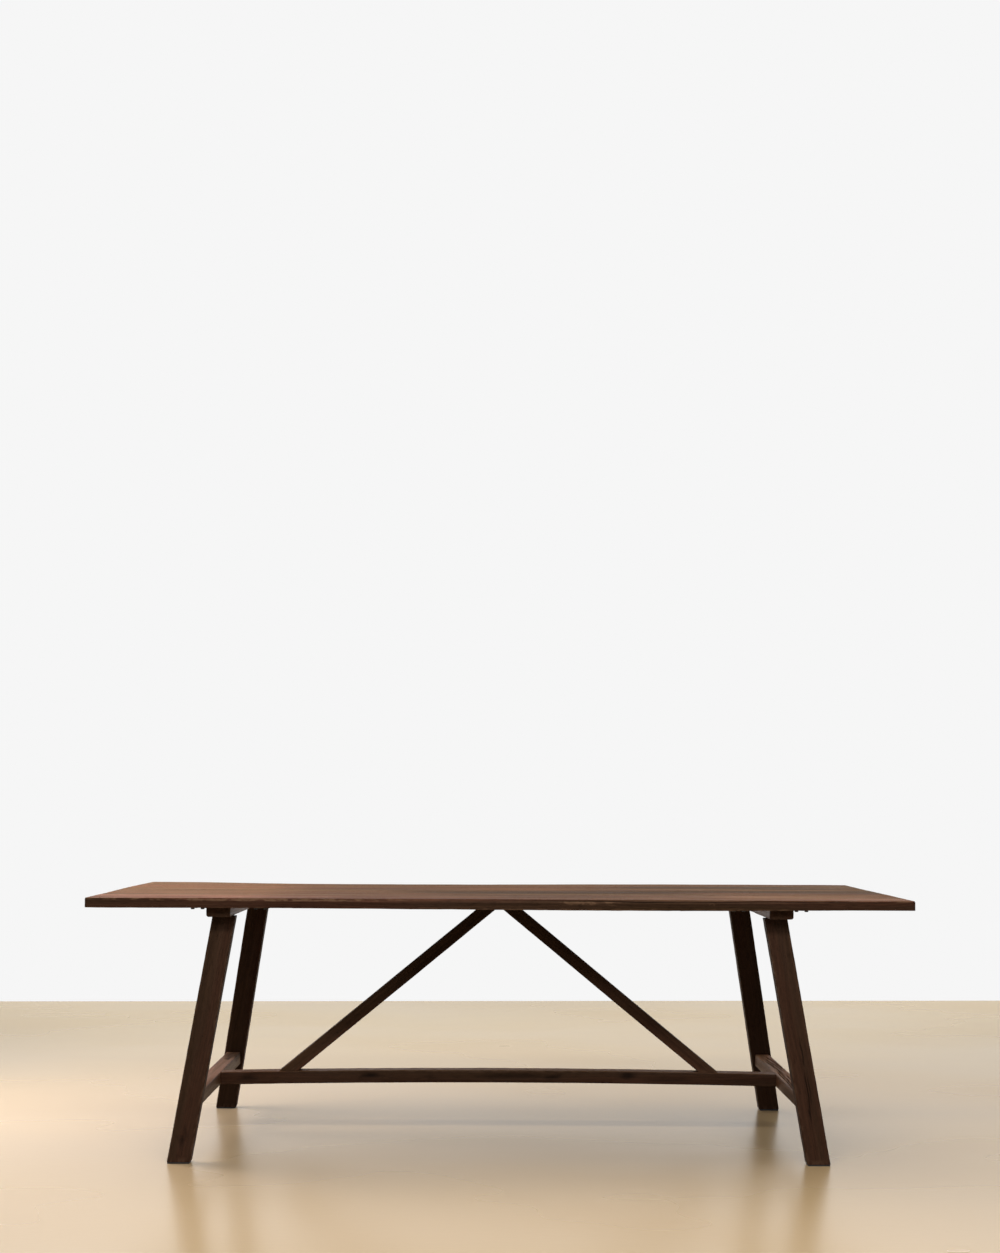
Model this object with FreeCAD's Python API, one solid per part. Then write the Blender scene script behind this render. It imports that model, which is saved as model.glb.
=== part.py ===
import FreeCAD
import Part
import math
import os

# Extending dining table: a plank top on two splayed trestles, joined by a bowed stretcher and two braces.
# Four steel arms slide out from under the ends of the top and carry loose end leaves.
# Sizes are in millimetres. X runs along the table, Y away from its front edge and Z up.
# The origin lies on the floor under the middle of the top.

# Table top
table_length = 2400.0
table_width = 1000.0
table_height = 760.0
top_thickness = 28.5
end_unevenness = 12.0
edge_wander = 2.5
wane_height = 10.5
wane_depth = 8.0
rear_sag = 5.0
rear_sag_width = 110.0
front_belly = 4.0
front_corner_radius = 12.0
rear_corner_radius = 24.0
left_end_rounding = 3.0
right_end_rounding = 4.0
seam_groove = 1.2

# Cleats that hold the planks together over the trestles
cleat_width = 70.0
cleat_height = 28.5
cleat_end_inset = 35.0
cleat_overhang = 10.0
cleat_rounding = 8.0
cleat_arris = 1.5

# Legs
leg_width = 67.5
leg_depth = 45.0
foot_inset_x = 280.0
foot_inset_y = 37.5
leg_splay_x = 111.5
leg_splay_y = 69.5
leg_arris = 2.5
foot_arris = 1.5
leg_tenon_width = 30.0
leg_tenon_depth = 22.0
leg_tenon_height = 20.0

# Foot glides
glide_thickness = 4.0
glide_inset = 0.5
glide_corner_radius = 5.0
glide_recess = 2.0
glide_nail_head_radius = 4.0
glide_nail_head_height = 1.2
glide_nail_radius = 1.5
glide_nail_length = 18.0

# Stretchers
stretcher_end_top = 192.0
stretcher_bow = 9.5
centre_stretcher_height = 38.5
centre_stretcher_depth = 55.0
side_stretcher_height = 40.0
side_stretcher_width = 48.0
stretcher_arris = 2.0
stretcher_tenon_length = 20.0
stretcher_tenon_thickness = 18.0
stretcher_tenon_width = 30.0

# Braces
brace_thickness = 38.0
brace_depth = 50.0
brace_foot_inset = 206.5
brace_head_offset = 5.0
brace_dowel_radius = 5.0
brace_dowel_inset_x = 18.0
brace_dowel_spacing = 28.0
brace_dowel_depth_in_top = 14.0
brace_dowel_depth_in_brace = 24.0

# Bolts that draw the trestles onto the centre stretcher
stretcher_bolt_radius = 4.0
stretcher_bolt_head_flats = 13.0
stretcher_bolt_head_height = 5.3
stretcher_bolt_flange_radius = 9.0
stretcher_bolt_flange_height = 1.6
stretcher_bolt_recess_radius = 11.0
stretcher_bolt_recess_depth = 9.0
stretcher_bolt_reach = 62.0
barrel_nut_radius = 7.0
barrel_nut_height = 24.0
barrel_nut_inset = 50.0

# Wood screws that fix the cleats to the planks and the braces to the stretcher
screw_head_radius = 5.5
screw_head_height = 3.5
screw_shank_radius = 2.5
screw_tip_length = 5.0
screw_recess_radius = 7.5
screw_recess_depth = 7.0
screw_slot_run = 6.0
screw_grip = 17.0
cleat_screw_inset = 58.0
brace_screw_grip = 24.0
brace_screw_spacing = 24.0
brace_screw_inset = 18.0

# Sliding arms that carry an end leaf
arm_seam_inset = 15.0
arm_width = 40.0
arm_thickness = 10.0
arm_end_inset = 30.0
arm_travel = 450.0
arm_corner_radius = 8.0
arm_side_gap = 0.4
finger_hole_radius = 10.0
finger_hole_inset = 24.0
finger_hole_chamfer = 1.0
stop_pin_radius = 4.0
stop_pin_inset = 14.0
stop_pin_reach = 5.0
stop_pin_chamfer = 0.8

# Keepers that hold the arms up under the top
keeper_length = 60.0
keeper_plate_thickness = 3.0
keeper_corner_radius = 5.0
keeper_bolt_spacing = 30.0
keeper_gap_outboard = 29.5
keeper_gap_inboard = 30.0
spacer_width = 18.0
keeper_bolt_radius = 3.0
keeper_bolt_head_flats = 10.0
keeper_bolt_head_height = 4.2
keeper_bolt_flange_radius = 6.6
keeper_bolt_flange_height = 1.2
keeper_bolt_grip = 14.0

# Rubber buffers that the pushed-in arms rest against
buffer_length = 16.0
buffer_width = 30.0
buffer_height = 12.0
buffer_chamfer = 1.5
buffer_recess_radius = 6.0
buffer_recess_depth = 5.0

# Brass sockets in the ends of the top for the pins of a leaf
socket_offset = 350.0
socket_radius = 7.0
socket_bore_radius = 5.0
socket_length = 26.0
socket_recess = 0.5
socket_mouth_chamfer = 0.6

# Clearances and overrun
running_gap = 0.3
joint_gap = 0.15
hole_gap = 0.05
passing_hole_gap = 0.3
overrun = 5.0

# Shapes that follow the sizes above, as shares chosen by eye
plank_names = ("front_plank", "inner_front_plank", "inner_rear_plank", "rear_plank")
seam_shares = (-0.5, -0.235, -0.005, 0.235, 0.5)
left_end_shares = ((0.1, 0.45), (0.5, 0.1), (0.0, 0.3), (0.2, 1.0))
right_end_shares = ((0.0, 0.0), (0.0, 0.3), (0.25, 0.7), (0.6, 0.4))
front_wander_shares = (0.3, 0.0, 0.6, 0.2, 1.0, 0.4, 0.9, 0.1, 0.4)
rear_wander_shares = (0.5, 0.1, 0.3, 0.9, 0.5, 0.0, 0.7, 0.3, 0.6)
front_wane_shares = (0.3, 0.5, 0.85, 1.0, 1.0, 1.0, 0.9, 0.7, 0.3)
rear_wane_shares = (0.2, 0.3, 0.4, 0.6, 0.3, 0.4, 0.5, 0.3, 0.2)
rear_sag_shares = (0.1, 0.4, 1.0, 0.95, 0.8, 0.4, 0.15, 0.1, 0.1)
front_belly_shares = (0.2, 0.0, 0.0, 0.35, 0.65, 0.9, 0.8, 0.1, -0.2)
belly_depth_share = 0.7
stretcher_crown_share = 0.16
arc_bend_share = 1 - math.sqrt(0.5)
hexagon_sides = 6

# Levels and places worked out from the sizes
up = FreeCAD.Vector(0, 0, 1)
down = FreeCAD.Vector(0, 0, -1)
along_x = FreeCAD.Vector(1, 0, 0)
along_y = FreeCAD.Vector(0, 1, 0)
top_underside = table_height - top_thickness
cleat_underside = top_underside - cleat_height
foot_x = table_length / 2 - foot_inset_x
foot_y = table_width / 2 - foot_inset_y
head_x = foot_x - leg_splay_x
cleat_outer_x = head_x + leg_width / 2 + cleat_overhang
cleat_inner_x = cleat_outer_x - cleat_width
cleat_end_y = table_width / 2 - cleat_end_inset
stretcher_end_bottom = stretcher_end_top - centre_stretcher_height
side_stretcher_bottom = stretcher_end_top - side_stretcher_height
stretcher_middle = stretcher_end_top - side_stretcher_height / 2
keeper_plate_top = top_underside - arm_thickness - 2 * running_gap
keeper_plate_bottom = keeper_plate_top - keeper_plate_thickness
arm_top = top_underside - running_gap
arm_bottom = arm_top - arm_thickness
arm_outer_x = table_length / 2 - arm_end_inset
arm_offset = table_width * seam_shares[-2] - arm_seam_inset
spacer_inner_offset = arm_width / 2 + arm_side_gap
keeper_bolt_offset = spacer_inner_offset + spacer_width / 2
outer_keeper_x = cleat_outer_x + keeper_gap_outboard + keeper_length / 2
inner_keeper_x = cleat_inner_x - keeper_gap_inboard - keeper_length / 2
stop_pin_x = inner_keeper_x - keeper_length / 2 - running_gap - stop_pin_radius - arm_travel
arm_inner_x = stop_pin_x - stop_pin_inset
buffer_outer_x = arm_inner_x - running_gap
buffer_x = buffer_outer_x - buffer_length / 2

sides = ((-1, "left"), (1, "right"))
rows = ((-1, "front"), (1, "rear"))


def point(x, y, z=0):
    return FreeCAD.Vector(x, y, z)


def block(x_ends, y_ends, z_ends):
    """A box between two values on each axis, given in either order"""
    low = point(min(x_ends), min(y_ends), min(z_ends))
    size = point(max(x_ends), max(y_ends), max(z_ends)) - low
    return Part.makeBox(size.x, size.y, size.z, low)


def about(middle, size):
    """The two ends of a span with this middle and size"""
    return (middle - size / 2, middle + size / 2)


def rod(radius, length, start, direction):
    return Part.makeCylinder(radius, length, start, direction)


def flat_face(points):
    return Part.Face(Part.makePolygon(list(points) + [points[0]]))


def prism(points, travel):
    """The solid that a flat polygon leaves when it moves along a vector"""
    return flat_face(points).extrude(travel)


def turned(profile, start, direction):
    """A solid of revolution from (radius, height) points, set at start along a direction"""
    points = [point(radius, 0, height) for radius, height in profile]
    solid = flat_face(points).revolve(point(0, 0), up, math.degrees(2 * math.pi))
    solid.Placement = FreeCAD.Placement(start, FreeCAD.Rotation(up, direction))
    return solid


def rounded_plate(x_middle, y_middle, length, width, radius, bottom, height):
    """An upright prism of a rectangle with rounded corners"""
    solid = block(about(x_middle, length), about(y_middle, width), (bottom, bottom + height))
    corners = [edge for edge in solid.Edges if abs(edge.tangentAt(edge.FirstParameter).z) > math.sqrt(0.5)]
    return solid.makeFillet(radius, corners)


def edges_along(solid, axis, shortest):
    """Straight edges that run mostly along an axis and are longer than a size"""
    found = []
    for edge in solid.Edges:
        direction = edge.tangentAt(edge.FirstParameter)
        if abs(direction.dot(axis)) > math.sqrt(0.5) and edge.Length > shortest:
            found.append(edge)
    return found


def save(name, *solids):
    """Writes one node, as a single solid or as a group of separate ones"""
    shape = solids[0] if len(solids) == 1 else Part.makeCompound(list(solids))
    if not shape.isValid():
        raise ValueError(name + " is not a valid shape")
    shape.exportStep("parts/" + name + ".step")


# Fasteners


def wood_screw(seat, direction, length):
    """A domed screw, its head resting on seat and its shank running along a direction"""
    dome_radius = screw_head_radius - screw_head_height / 2
    profile = [
        (0, -screw_head_height),
        (dome_radius, -screw_head_height),
        (screw_head_radius, -screw_head_height / 2),
        (screw_head_radius, 0),
        (screw_shank_radius, 0),
        (screw_shank_radius, length - screw_tip_length),
        (0, length),
    ]
    return turned(profile, seat, direction)


def hex_bolt(seat, direction, radius, length, flats, head_height, flange_radius, flange_height):
    """A flanged hexagon bolt, its flange resting on seat and its shank running along a direction"""
    corner_radius = flats / math.sqrt(3)
    hexagon = []
    for corner in range(hexagon_sides):
        angle = 2 * math.pi * corner / hexagon_sides
        hexagon.append(point(corner_radius * math.cos(angle), corner_radius * math.sin(angle)))
    head = prism(hexagon, point(0, 0, -head_height - flange_height))
    crown_drop = (corner_radius - flats / 2) * math.sqrt(0.5)
    head_end = -head_height - flange_height
    crown = turned(
        [
            (0, 0),
            (corner_radius, 0),
            (corner_radius, head_end + crown_drop),
            (flats / 2, head_end),
            (0, head_end),
        ],
        point(0, 0), up,
    )
    shank = turned(
        [
            (0, -flange_height),
            (flange_radius, -flange_height),
            (flange_radius, 0),
            (radius, 0),
            (radius, length - radius / 2),
            (radius / 2, length),
            (0, length),
        ],
        point(0, 0), up,
    )
    bolt = head.common(crown).fuse(shank).removeSplitter()
    bolt.Placement = FreeCAD.Placement(seat, FreeCAD.Rotation(up, direction))
    return bolt.Solids[0]


def keeper_places(side, row):
    """Middle X of the outer and inner keeper, and middle Y, for one arm"""
    return side * outer_keeper_x, side * inner_keeper_x, row * arm_offset


def keeper_bolt_places():
    """X and Y of every keeper bolt, with the side of the table that it is on"""
    places = []
    for side, _ in sides:
        for row, _ in rows:
            outer_x, inner_x, middle_y = keeper_places(side, row)
            for middle_x in (outer_x, inner_x):
                for x in about(middle_x, keeper_bolt_spacing):
                    for y in about(middle_y, 2 * keeper_bolt_offset):
                        places.append((side, x, y))
    return places


def cleat_screw_places():
    """X and Y of every cleat screw, two to a plank in each cleat"""
    places = []
    for side, _ in sides:
        x = side * (cleat_inner_x + cleat_outer_x) / 2
        for index in range(len(plank_names)):
            for y in (seam_y(index) + cleat_screw_inset, seam_y(index + 1) - cleat_screw_inset):
                places.append((side, x, y))
    return places


def buffer_places():
    return [(side * buffer_x, row * arm_offset) for side, _ in sides for row, _ in rows]


def brace_dowel_places():
    places = []
    for side, _ in sides:
        for y in about(0, brace_dowel_spacing):
            places.append((side * brace_dowel_inset_x, y))
    return places


def brace_screw_places():
    places = []
    for side, _ in sides:
        for y in about(0, brace_screw_spacing):
            places.append((side * (brace_foot_x() - brace_screw_inset), y))
    return places


# Top planks


def seam_y(index):
    return table_width * seam_shares[index]


def end_x(index, side, y):
    """X of a plank's end, which slants a little between its two corners"""
    shares = right_end_shares[index] if side > 0 else left_end_shares[index]
    across = (y - seam_y(index)) / (seam_y(index + 1) - seam_y(index))
    inset = end_unevenness * (shares[0] + (shares[1] - shares[0]) * across)
    return side * (table_length / 2 - inset)


def edge_stations(row):
    """Points along a long edge of the top, with its hand-planed wander"""
    shares = front_wander_shares if row < 0 else rear_wander_shares
    last = len(shares) - 1
    stations = []
    for number, share in enumerate(shares):
        x = table_length * number / last - table_length / 2
        stations.append((x, row * (table_width / 2 - edge_wander * share)))
    return stations


def corner_arc(corner_x, corner_y, radius, side, row):
    """The arc that rounds a corner of the top, from its end to its long edge"""
    bend = radius * arc_bend_share
    return Part.Arc(
        point(corner_x, corner_y - row * radius),
        point(corner_x - side * bend, corner_y - row * bend),
        point(corner_x - side * radius, corner_y),
    )


def outer_plank_face(index, row):
    """Plan of a plank that has a long edge of the top, with rounded corners and a wandering edge"""
    seam = seam_y(index + 1) if row < 0 else seam_y(index)
    stations = edge_stations(row)
    left_radius = rear_corner_radius if row > 0 else front_corner_radius
    left_corner = point(end_x(index, -1, stations[0][1]), stations[0][1])
    right_corner = point(end_x(index, 1, stations[-1][1]), stations[-1][1])
    left_arc = corner_arc(left_corner.x, left_corner.y, left_radius, -1, row)
    right_arc = corner_arc(right_corner.x, right_corner.y, front_corner_radius, 1, row)
    edge = Part.BSplineCurve()
    middle_points = [point(x, y) for x, y in stations[1:-1]]
    edge.interpolate(Points=[left_arc.EndPoint] + middle_points + [right_arc.EndPoint])
    left_seam = point(end_x(index, -1, seam), seam)
    right_seam = point(end_x(index, 1, seam), seam)
    outline = [
        Part.LineSegment(left_seam, left_arc.StartPoint),
        left_arc,
        edge,
        right_arc,
        Part.LineSegment(right_arc.StartPoint, right_seam),
        Part.LineSegment(right_seam, left_seam),
    ]
    edges = Part.__sortEdges__([curve.toShape() for curve in outline])
    return Part.Face(Part.Wire(edges))


def inner_plank_face(index):
    low, high = seam_y(index), seam_y(index + 1)
    corners = [
        point(end_x(index, -1, low), low),
        point(end_x(index, 1, low), low),
        point(end_x(index, 1, high), high),
        point(end_x(index, -1, high), high),
    ]
    return flat_face(corners)


def edge_loft(sections):
    """A solid through one section at each station, run on past both ends of the top"""
    for section, side in ((sections[0], -1), (sections[-1], 1)):
        section.translate(point(side * overrun, 0))
    return Part.makeLoft(sections, True, False)


def slope_cutter(row, shares, full_height, full_depth):
    """Takes an uneven slope off the upper side of the top along one of its long edges"""
    sections = []
    for (x, y), share in zip(edge_stations(row), shares):
        height, depth = full_height * share, full_depth * share
        reach = overrun / math.hypot(height, depth)
        inner = point(x, y - row * depth * (1 + reach), table_height + height * reach)
        outer = point(x, y + row * depth * reach, table_height - height * (1 + reach))
        corner = point(x, outer.y, inner.z)
        sections.append(Part.makePolygon([inner, outer, corner, inner]))
    return edge_loft(sections)


def build_belly():
    """The thicker stretch of the front plank, which hangs lower under the front edge of the top"""
    plan = outer_plank_face(0, -1)
    plan.translate(point(0, 0, top_underside - front_belly))
    sections = []
    for (x, y), share in zip(edge_stations(-1), front_belly_shares):
        outside, inside = y - overrun, y + cleat_end_inset * belly_depth_share
        above = top_underside + overrun
        corners = [
            point(x, outside, top_underside - front_belly * share),
            point(x, inside, top_underside),
            point(x, inside, above),
            point(x, outside, above),
        ]
        sections.append(Part.makePolygon(corners + [corners[0]]))
    return edge_loft(sections).common(plan.extrude(point(0, 0, front_belly + overrun)))


def end_cutter(index, side):
    """Takes the rounding off the upper arris of one plank end"""
    radius = right_end_rounding if side > 0 else left_end_rounding
    bend = radius * arc_bend_share
    sections = []
    for y in (seam_y(index) - overrun, seam_y(index + 1) + overrun):
        x = end_x(index, side, y)
        start = point(x - side * radius, y, table_height)
        middle = point(x - side * bend, y, table_height - bend)
        finish = point(x, y, table_height - radius)
        outside = point(x + side * overrun, y, finish.z)
        above = point(outside.x, y, table_height + overrun)
        back = point(start.x, y, above.z)
        sections.append(Part.Wire([
            Part.Arc(start, middle, finish).toShape(),
            Part.LineSegment(finish, outside).toShape(),
            Part.LineSegment(outside, above).toShape(),
            Part.LineSegment(above, back).toShape(),
            Part.LineSegment(back, start).toShape(),
        ]))
    return Part.makeLoft(sections, True, True)


def seam_edges(plank, index):
    """Upper edges of a plank that lie on its seams"""
    seams = [seam_y(number) for number in (index, index + 1) if 0 < number < len(plank_names)]
    found = []
    for edge in edges_along(plank, along_x, table_length / 2):
        middle = edge.valueAt((edge.FirstParameter + edge.LastParameter) / 2)
        on_seam = min(abs(middle.y - seam) for seam in seams) < seam_groove
        if on_seam and abs(middle.z - table_height) < seam_groove:
            found.append(edge)
    return found


def socket_mouth(side, row):
    """Middle of the mouth of one leaf socket, just inside the end of its plank"""
    index = 0 if row < 0 else len(plank_names) - 1
    y = row * socket_offset
    middle_level = top_underside + top_thickness / 2
    return point(end_x(index, side, y) - side * socket_recess, y, middle_level)


def top_holes():
    """Everything that is drilled into the planks from below or from their ends"""
    holes = []
    for _, x, y in keeper_bolt_places():
        start = point(x, y, top_underside - overrun)
        holes.append(rod(keeper_bolt_radius + hole_gap, keeper_bolt_grip + overrun, start, up))
    for _, x, y in cleat_screw_places():
        start = point(x, y, top_underside - overrun)
        holes.append(rod(screw_shank_radius + hole_gap, screw_grip + overrun, start, up))
    for x, y in buffer_places():
        start = point(x, y, top_underside - overrun)
        holes.append(rod(screw_shank_radius + hole_gap, screw_grip + overrun, start, up))
    for x, y in brace_dowel_places():
        start = point(x, y, top_underside - overrun)
        depth = brace_dowel_depth_in_top + joint_gap + overrun
        holes.append(rod(brace_dowel_radius + hole_gap, depth, start, up))
    for side, _ in sides:
        for row, _ in rows:
            mouth = socket_mouth(side, row)
            start = mouth + point(side * (socket_recess + overrun), 0)
            depth = socket_length + socket_recess + overrun
            holes.append(rod(socket_radius + hole_gap, depth, start, point(-side, 0)))
    return holes


def build_planks():
    holes = top_holes()
    last = len(plank_names) - 1
    for index, name in enumerate(plank_names):
        row = -1 if index == 0 else 1
        face = outer_plank_face(index, row) if index in (0, last) else inner_plank_face(index)
        face.translate(point(0, 0, top_underside))
        plank = face.extrude(point(0, 0, top_thickness))
        plank = plank.makeChamfer(seam_groove, seam_edges(plank, index))
        cutters = [end_cutter(index, side) for side, _ in sides]
        if index == 0:
            plank = plank.fuse(build_belly())
            cutters.append(slope_cutter(row, front_wane_shares, wane_height, wane_depth))
        if index == last:
            cutters.append(slope_cutter(row, rear_sag_shares, rear_sag, rear_sag_width))
            cutters.append(slope_cutter(row, rear_wane_shares, wane_height, wane_depth))
        cutters += [hole for hole in holes if hole.BoundBox.intersect(plank.BoundBox)]
        save(name, plank.cut(cutters).Solids[0])


# Trestles


def leg_centre(side, row, level):
    """Middle of a leg's section at a level"""
    share = level / cleat_underside
    return point(side * (foot_x - leg_splay_x * share), row * (foot_y - leg_splay_y * share), level)


def build_leg(side, row):
    """A leg that splays both ways, cut level at both ends, with a tenon into its cleat"""
    foot = leg_centre(side, row, glide_thickness)
    head = leg_centre(side, row, cleat_underside)
    half_x, half_y = leg_width / 2, leg_depth / 2
    outline = []
    for turn_x, turn_y in ((1, 1), (-1, 1), (-1, -1), (1, -1)):
        along = point(turn_x * half_x, turn_y * (half_y - leg_arris))
        across = point(turn_x * (half_x - leg_arris), turn_y * half_y)
        outline += [foot + along, foot + across] if turn_x == turn_y else [foot + across, foot + along]
    leg = prism(outline, head - foot)
    foot_edges = [edge for edge in leg.Edges if edge.BoundBox.ZMax < glide_thickness + foot_arris]
    leg = leg.makeChamfer(foot_arris, foot_edges)
    tenon = block(about(head.x, leg_tenon_width), about(head.y, leg_tenon_depth),
                  (head.z - overrun, head.z + leg_tenon_height))
    mortise = stretcher_tenon(side, row, joint_gap)
    nail_hole = rod(glide_nail_radius + hole_gap, glide_nail_length, point(foot.x, foot.y, 0), up)
    return leg.fuse(tenon).cut([mortise, nail_hole]).removeSplitter().Solids[0]


def leg_inner_y(level):
    """Y of the rear legs' faces that look towards the middle of the table"""
    return leg_centre(1, 1, level).y - leg_depth / 2


def side_stretcher_x():
    return leg_centre(1, 1, stretcher_middle).x


def side_stretcher_inner_x():
    return side_stretcher_x() - side_stretcher_width / 2


def stretcher_tenon(side, row, gap):
    """The tenon of a side stretcher in a leg, or with a gap the mortise that it goes into"""
    shoulder = leg_inner_y(stretcher_end_top) - overrun
    end = leg_inner_y(stretcher_middle) + stretcher_tenon_length + gap
    return block(about(side * side_stretcher_x(), stretcher_tenon_width + 2 * gap),
                 (row * shoulder, row * end),
                 about(stretcher_middle, stretcher_tenon_thickness + 2 * gap))


def centre_tenon(side, gap):
    """The tenon of the centre stretcher in a side stretcher, or with a gap its mortise"""
    shoulder = side_stretcher_inner_x()
    return block((side * (shoulder - overrun), side * (shoulder + stretcher_tenon_length + gap)),
                 about(0, stretcher_tenon_width + 2 * gap),
                 about(stretcher_bolt_level(), stretcher_tenon_thickness + 2 * gap))


def stretcher_bolt_level():
    return stretcher_end_top - centre_stretcher_height / 2


def stretcher_bolt_seat():
    """X of the face inside a side stretcher on which the bolt's flange bears"""
    return side_stretcher_x() + side_stretcher_width / 2 - stretcher_bolt_recess_depth


def stretcher_bolt_length():
    return stretcher_bolt_seat() - side_stretcher_inner_x() + stretcher_bolt_reach


def stretcher_bolt_hole(side, gap):
    """The hole through a side stretcher and into the centre stretcher's end"""
    start = point(side * (stretcher_bolt_seat() + overrun), 0, stretcher_bolt_level())
    length = overrun + stretcher_bolt_length() + gap
    return rod(stretcher_bolt_radius + gap, length, start, point(-side, 0))


def build_side_stretcher(side):
    """A rail between the two legs of a trestle, its ends cut to the legs' slope"""
    low, high = side_stretcher_bottom, stretcher_end_top
    outline = []
    for row, level in ((-1, low), (1, low), (1, high), (-1, high)):
        outline.append(point(side * side_stretcher_inner_x(), row * leg_inner_y(level), level))
    rail = prism(outline, point(side * side_stretcher_width, 0))
    rail = rail.makeChamfer(stretcher_arris, edges_along(rail, along_y, table_width / 2))
    tenons = [stretcher_tenon(side, row, 0) for row, _ in rows]
    recess_start = point(side * (stretcher_bolt_seat() + stretcher_bolt_recess_depth + overrun), 0,
                         stretcher_bolt_level())
    recess = rod(stretcher_bolt_recess_radius, stretcher_bolt_recess_depth + overrun,
                 recess_start, point(-side, 0))
    holes = [centre_tenon(side, joint_gap), stretcher_bolt_hole(side, passing_hole_gap), recess]
    return rail.fuse(tenons).cut(holes).removeSplitter().Solids[0]


def stretcher_curve(level):
    """The bowed line of the centre stretcher from end to end, raised to a level"""
    half = side_stretcher_inner_x()
    curve = Part.BSplineCurve()
    crown = point(half * stretcher_crown_share, 0, level + stretcher_bow)
    curve.interpolate(Points=[point(-half, 0, level), crown, point(half, 0, level)])
    return curve


def stretcher_body():
    """The centre stretcher between its shoulders, without tenons or holes"""
    upper = stretcher_curve(stretcher_end_top)
    lower = stretcher_curve(stretcher_end_bottom)
    outline = [
        upper.toShape(),
        Part.LineSegment(upper.EndPoint, lower.EndPoint).toShape(),
        lower.toShape(),
        Part.LineSegment(lower.StartPoint, upper.StartPoint).toShape(),
    ]
    face = Part.Face(Part.Wire(Part.__sortEdges__(outline)))
    face.translate(point(0, -centre_stretcher_depth / 2))
    return face.extrude(point(0, centre_stretcher_depth))


def build_centre_stretcher():
    rail = stretcher_body()
    rail = rail.makeChamfer(stretcher_arris, edges_along(rail, along_x, table_length / 2))
    tenons = [centre_tenon(side, 0) for side, _ in sides]
    holes = [stretcher_bolt_hole(side, passing_hole_gap) for side, _ in sides]
    for side, _ in sides:
        start = barrel_nut_place(side) - point(0, 0, centre_stretcher_height)
        depth = centre_stretcher_height + barrel_nut_height / 2
        holes.append(rod(barrel_nut_radius + hole_gap, depth, start, up))
    for x, y in brace_screw_places():
        seat = brace_screw_seat(x)
        start = point(x, y, seat - stretcher_end_top)
        holes.append(rod(screw_recess_radius, stretcher_end_top, start, up))
        holes.append(rod(screw_shank_radius + passing_hole_gap, stretcher_end_top, point(x, y, seat), up))
    return rail.fuse(tenons).cut(holes).removeSplitter().Solids[0]


def barrel_nut_place(side):
    """Middle of the barrel nut that takes one stretcher bolt"""
    return point(side * (side_stretcher_inner_x() - barrel_nut_inset), 0, stretcher_bolt_level())


def stretcher_level(x, level):
    """Height of the bowed line over one place along the stretcher"""
    line = Part.LineSegment(point(x, 0, 0), point(x, 0, table_height)).toShape()
    return line.distToShape(stretcher_curve(level).toShape())[1][0][0].z


def brace_screw_seat(x):
    return stretcher_level(x, stretcher_end_bottom) + screw_recess_depth


# Braces


def brace_foot_x():
    return side_stretcher_inner_x() - brace_foot_inset


def build_brace(side):
    """A brace cut to sit on the bowed stretcher, mitred against its twin under the top"""
    foot = point(side * brace_foot_x(), 0, stretcher_end_top)
    head = point(side * brace_head_offset, 0, top_underside)
    run = head - foot
    half = brace_thickness / 2 * run.Length / abs(run.z)
    rise = centre_stretcher_height / 2 / run.z
    low = foot - run * rise
    high = head + run * rise
    outline = [low - point(half, 0), low + point(half, 0), high + point(half, 0), high - point(half, 0)]
    outline = [corner - point(0, brace_depth / 2) for corner in outline]
    brace = prism(outline, point(0, brace_depth))
    room = block((0, side * table_length), about(0, table_width), (0, top_underside))
    brace = brace.common(room).cut(stretcher_body())
    brace = max(brace.Solids, key=lambda solid: solid.Volume)
    long_edges = [edge for edge in brace.Edges if edge.Length > table_height / 2]
    brace = brace.makeChamfer(stretcher_arris, long_edges)
    holes = []
    for x, y in brace_dowel_places():
        start = point(x, y, top_underside - brace_dowel_depth_in_brace - joint_gap)
        holes.append(rod(brace_dowel_radius + hole_gap, brace_dowel_depth_in_brace + overrun, start, up))
    for x, y in brace_screw_places():
        tip = stretcher_level(x, stretcher_end_top) + brace_screw_grip
        holes.append(rod(screw_shank_radius + hole_gap, stretcher_end_top, point(x, y, tip), down))
    return brace.cut(holes).Solids[0]


# Cleats


def arm_notch(side, row):
    """The way for one arm through the upper face of a cleat"""
    width = arm_width + 2 * arm_side_gap
    return block((side * (cleat_inner_x - overrun), side * (cleat_outer_x + overrun)),
                 about(row * arm_offset, width), (keeper_plate_top, top_underside + overrun))


def expansion_slot(x, y):
    """The slotted hole and recess that let a cleat's screw follow the planks as they swell"""
    pieces = []
    for radius, start, depth in (
        (screw_shank_radius + passing_hole_gap, cleat_underside - overrun, cleat_height + 2 * overrun),
        (screw_recess_radius, cleat_underside - overrun, screw_recess_depth + overrun),
    ):
        pieces.append(block(about(x, 2 * radius), about(y, screw_slot_run), (start, start + depth)))
        for end_y in about(y, screw_slot_run):
            pieces.append(rod(radius, depth, point(x, end_y, start), up))
    return pieces


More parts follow.
